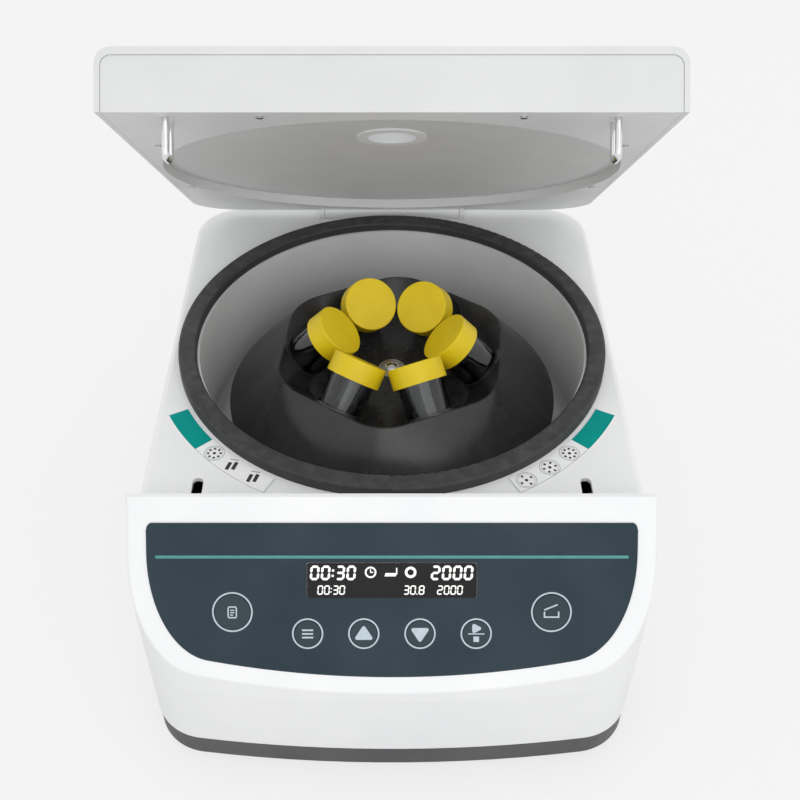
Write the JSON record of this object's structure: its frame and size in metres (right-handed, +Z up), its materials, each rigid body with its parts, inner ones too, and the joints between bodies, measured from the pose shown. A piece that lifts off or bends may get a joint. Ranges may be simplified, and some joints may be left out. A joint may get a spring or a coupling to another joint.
{
  "type": "bench centrifuge",
  "caption": "Bench centrifuge with a hinged lid, a round bowl and an angled rotor that holds capped tubes, and a sloping control panel with a display.",
  "frame": {"origin": "middle of the footprint on the bench, below the middle of the box round the part with its lid open", "axes": "+Z up, -Y out of the control panel, +X to the right of a person in front of the panel"},
  "size_m": [0.2842, 0.3888, 0.3789],
  "materials": {
    "white_plastic": "satin moulded plastic",
    "grey_plastic": "fine matt moulded plastic",
    "dark_plastic": "matt moulded plastic",
    "black_plastic": "matt moulded plastic",
    "panel_film": "fine textured film",
    "key_film": "satin",
    "display_glass": "gloss black window",
    "circuit_board": "lacquered board",
    "bowl_steel": "satin",
    "gasket_rubber": "matt",
    "label_film": "printed film",
    "rotor_plastic": "polished",
    "bare_steel": "plain",
    "chrome": "bright",
    "clear_window": "clear",
    "motor_aluminium": "as cast",
    "tube_clear": "clear moulded",
    "cap_yellow": "satin"
  },
  "bodies": {
    "housing": {"base_pan": "dark_plastic", "upper_housing": "white_plastic", "front_housing": "white_plastic", "control_panel": "panel_film", "display_window": "display_glass", "display_module": "black_plastic", "control_board": "circuit_board", "bowl": "bowl_steel", "bowl_gasket": "gasket_rubber", "deck_label_left": "label_film", "deck_label_right": "label_film", "hinge_bracket": "white_plastic", "hinge_pin": "bare_steel", "latch_solenoid_left": "black_plastic", "latch_solenoid_right": "black_plastic", "latch_bracket": "bare_steel", "motor_dampers": "gasket_rubber", "motor_mount": "bare_steel", "motor_housing": "motor_aluminium", "power_inlet": "black_plastic", "switch_frame": "black_plastic", "power_board": "circuit_board", "rubber_feet": "gasket_rubber", "foot_screws": "bare_steel"},
    "lid": {"lid_shell": "grey_plastic", "lid_liner": "grey_plastic", "lid_hinge_arm": "white_plastic", "sight_port_ring": "white_plastic", "sight_window": "clear_window", "striker_left": "chrome", "striker_right": "chrome", "liner_screws": "bare_steel"},
    "rotor": {"rotor_body": "rotor_plastic", "rotor_hub": "bare_steel", "rotor_nut": "chrome", "drive_shaft": "bare_steel", "tube_1": "tube_clear", "tube_2": "tube_clear", "tube_3": "tube_clear", "tube_4": "tube_clear", "tube_5": "tube_clear", "tube_6": "tube_clear", "cap_1": "cap_yellow", "cap_2": "cap_yellow", "cap_3": "cap_yellow", "cap_4": "cap_yellow", "cap_5": "cap_yellow", "cap_6": "cap_yellow"},
    "latch_left": {"latch_bolt_left": "bare_steel"},
    "latch_right": {"latch_bolt_right": "bare_steel"},
    "switch_rocker": {"rocker": "black_plastic"},
    "pushed_key_program": {"key_program": "key_film"},
    "pushed_key_menu": {"key_menu": "key_film"},
    "pushed_key_up": {"key_up": "key_film"},
    "pushed_key_down": {"key_down": "key_film"},
    "pushed_key_start": {"key_start": "key_film"},
    "pushed_key_lid_release": {"key_lid_release": "key_film"}
  },
  "joints": [
    {"name": "lid_hinge", "type": "hinge", "parent": "housing", "child": "lid", "pos_m": [0, 0.1783, 0.1525], "axis": [-1, 0, 0], "range_deg": [-42, 0]},
    {"name": "rotor_spin", "type": "hinge", "parent": "housing", "child": "rotor", "pos_m": [0, 0.0283, 0.1], "axis": [0, 0, 1], "continuous": true},
    {"name": "latch_left_slide", "type": "slide", "parent": "housing", "child": "latch_left", "axis": [1, 0, 0], "range_m": [-0.009, 0], "stiffness_N_per_m": 150, "springref_m": 0.002},
    {"name": "latch_right_slide", "type": "slide", "parent": "housing", "child": "latch_right", "axis": [-1, 0, 0], "range_m": [-0.009, 0], "stiffness_N_per_m": 150, "springref_m": 0.002},
    {"name": "rocker_tilt", "type": "hinge", "parent": "housing", "child": "switch_rocker", "pos_m": [0.015, 0.1853, 0.052], "axis": [0, 0, 1], "range_deg": [0, 16]},
    {"name": "key_program_press", "type": "slide", "parent": "housing", "child": "pushed_key_program", "axis": [0, -0.788, 0.6157], "range_m": [-0.0005, 0], "stiffness_N_per_m": 1200, "springref_m": 0.0002},
    {"name": "key_menu_press", "type": "slide", "parent": "housing", "child": "pushed_key_menu", "axis": [0, -0.788, 0.6157], "range_m": [-0.0005, 0], "stiffness_N_per_m": 1200, "springref_m": 0.0002},
    {"name": "key_up_press", "type": "slide", "parent": "housing", "child": "pushed_key_up", "axis": [0, -0.788, 0.6157], "range_m": [-0.0005, 0], "stiffness_N_per_m": 1200, "springref_m": 0.0002},
    {"name": "key_down_press", "type": "slide", "parent": "housing", "child": "pushed_key_down", "axis": [0, -0.788, 0.6157], "range_m": [-0.0005, 0], "stiffness_N_per_m": 1200, "springref_m": 0.0002},
    {"name": "key_start_press", "type": "slide", "parent": "housing", "child": "pushed_key_start", "axis": [0, -0.788, 0.6157], "range_m": [-0.0005, 0], "stiffness_N_per_m": 1200, "springref_m": 0.0002},
    {"name": "key_lid_release_press", "type": "slide", "parent": "housing", "child": "pushed_key_lid_release", "axis": [0, -0.788, 0.6157], "range_m": [-0.0005, 0], "stiffness_N_per_m": 1200, "springref_m": 0.0002}
  ],
  "couplings": [
    {"joint": "latch_right_slide", "follows": "latch_left_slide", "ratio": 1}
  ]
}
